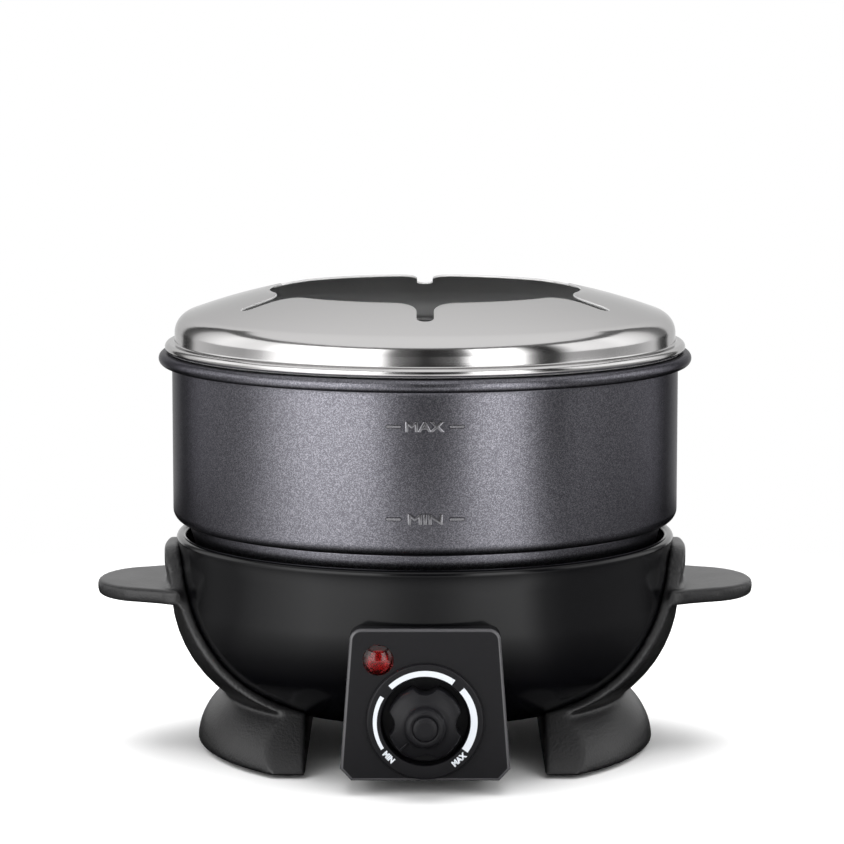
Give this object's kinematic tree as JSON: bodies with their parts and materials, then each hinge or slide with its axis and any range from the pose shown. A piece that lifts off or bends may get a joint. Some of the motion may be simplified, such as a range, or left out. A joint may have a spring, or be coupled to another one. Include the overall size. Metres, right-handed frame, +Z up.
{
  "type": "electric fondue pot",
  "caption": "Electric fondue pot: round base with a heated plate, dial thermostat and side handles, a lift-out stepped pot and a lift-off open lid with fork notches.",
  "frame": {"origin": "on the table, in the middle of the footprint (midway between the knob's face and the back of the pot's rim, and between the two handle tips)", "axes": "+X to the right seen from the controls, +Y to the back, +Z up; the controls face -Y"},
  "size_m": [0.2632, 0.2239, 0.1818],
  "materials": {
    "polished_steel": "polished",
    "non_stick_coat": "satin, fine metallic sparkle",
    "gloss_black": "gloss",
    "cast_aluminium": "turned disc in a cast ring",
    "element_sheath": "dull",
    "ceramic": "glazed",
    "bright_sheet": "bright sheet",
    "zinc_steel": "zinc plated",
    "copper": "drawn",
    "black_plastic": "fine moulded texture",
    "white_plastic": "moulded",
    "brown_plastic": "moulded",
    "lead_sleeve": "silicone sleeve",
    "rubber": "matt",
    "red_lens": "clear red, prismed inside",
    "lamp_glass": "clear"
  },
  "bodies": {
    "base": {"base_bowl": "gloss_black", "heating_plate": "cast_aluminium", "heating_element": "element_sheath", "element_insulators": "ceramic", "heat_reflector": "bright_sheet", "upper_spacers": "zinc_steel", "lower_spacers": "zinc_steel", "plate_screws": "zinc_steel", "thermal_fuse": "copper", "sensor_bulb": "copper", "plate_clips": "zinc_steel", "bottom_cover": "black_plastic", "cover_screws": "zinc_steel", "terminal_block": "white_plastic", "cord_gland": "black_plastic", "internal_leads": "lead_sleeve", "left_side_frame": "black_plastic", "right_side_frame": "black_plastic", "frame_screws": "zinc_steel", "rubber_feet": "rubber", "control_housing": "black_plastic", "housing_screws": "zinc_steel", "dial_ring": "black_plastic", "thermostat_body": "brown_plastic", "thermostat_screws": "zinc_steel", "indicator_lens": "red_lens", "lamp_clip": "zinc_steel", "neon_lamp": "lamp_glass"},
    "pot": {"pot_shell": "non_stick_coat"},
    "lid": {"lid_shell": "polished_steel"},
    "knob": {"knob": "black_plastic", "thermostat_spindle": "zinc_steel"}
  },
  "joints": [
    {"name": "pot_lift", "type": "slide", "parent": "base", "child": "pot", "axis": [0, 0, 1], "range_m": [0, 0.048]},
    {"name": "lid_lift", "type": "slide", "parent": "pot", "child": "lid", "axis": [0, 0, 1], "range_m": [0, 0.0388]},
    {"name": "knob_turn", "type": "hinge", "parent": "base", "child": "knob", "pos_m": [0, -0.099, 0.0284], "axis": [0, 1, 0], "range_deg": [0, 270]}
  ]
}
